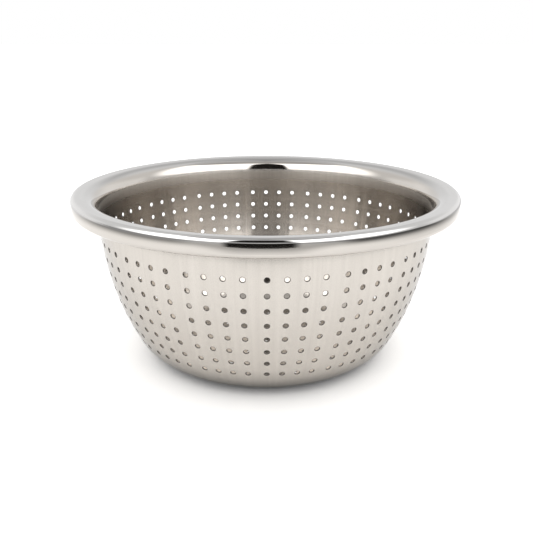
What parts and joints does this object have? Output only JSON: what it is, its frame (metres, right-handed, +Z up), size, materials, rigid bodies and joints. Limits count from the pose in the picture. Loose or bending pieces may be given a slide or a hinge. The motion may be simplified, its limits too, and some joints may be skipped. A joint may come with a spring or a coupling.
{
  "type": "colander",
  "caption": "Round steel colander: a bowl of thin sheet with rows of punched drain holes, a flat base and a broad flange rolled round a wire.",
  "frame": {"origin": "on the floor under the middle of the flat base", "axes": "+Z up along the bowl's axis, -Y towards the front of the picture, +X to its right"},
  "size_m": [0.24, 0.24, 0.107],
  "materials": {
    "bowl_steel": "satin wall, polished flange",
    "wire_steel": "drawn wire"
  },
  "bodies": {
    "root": {"bowl": "bowl_steel", "rim_wire": "wire_steel"}
  },
  "joints": []
}
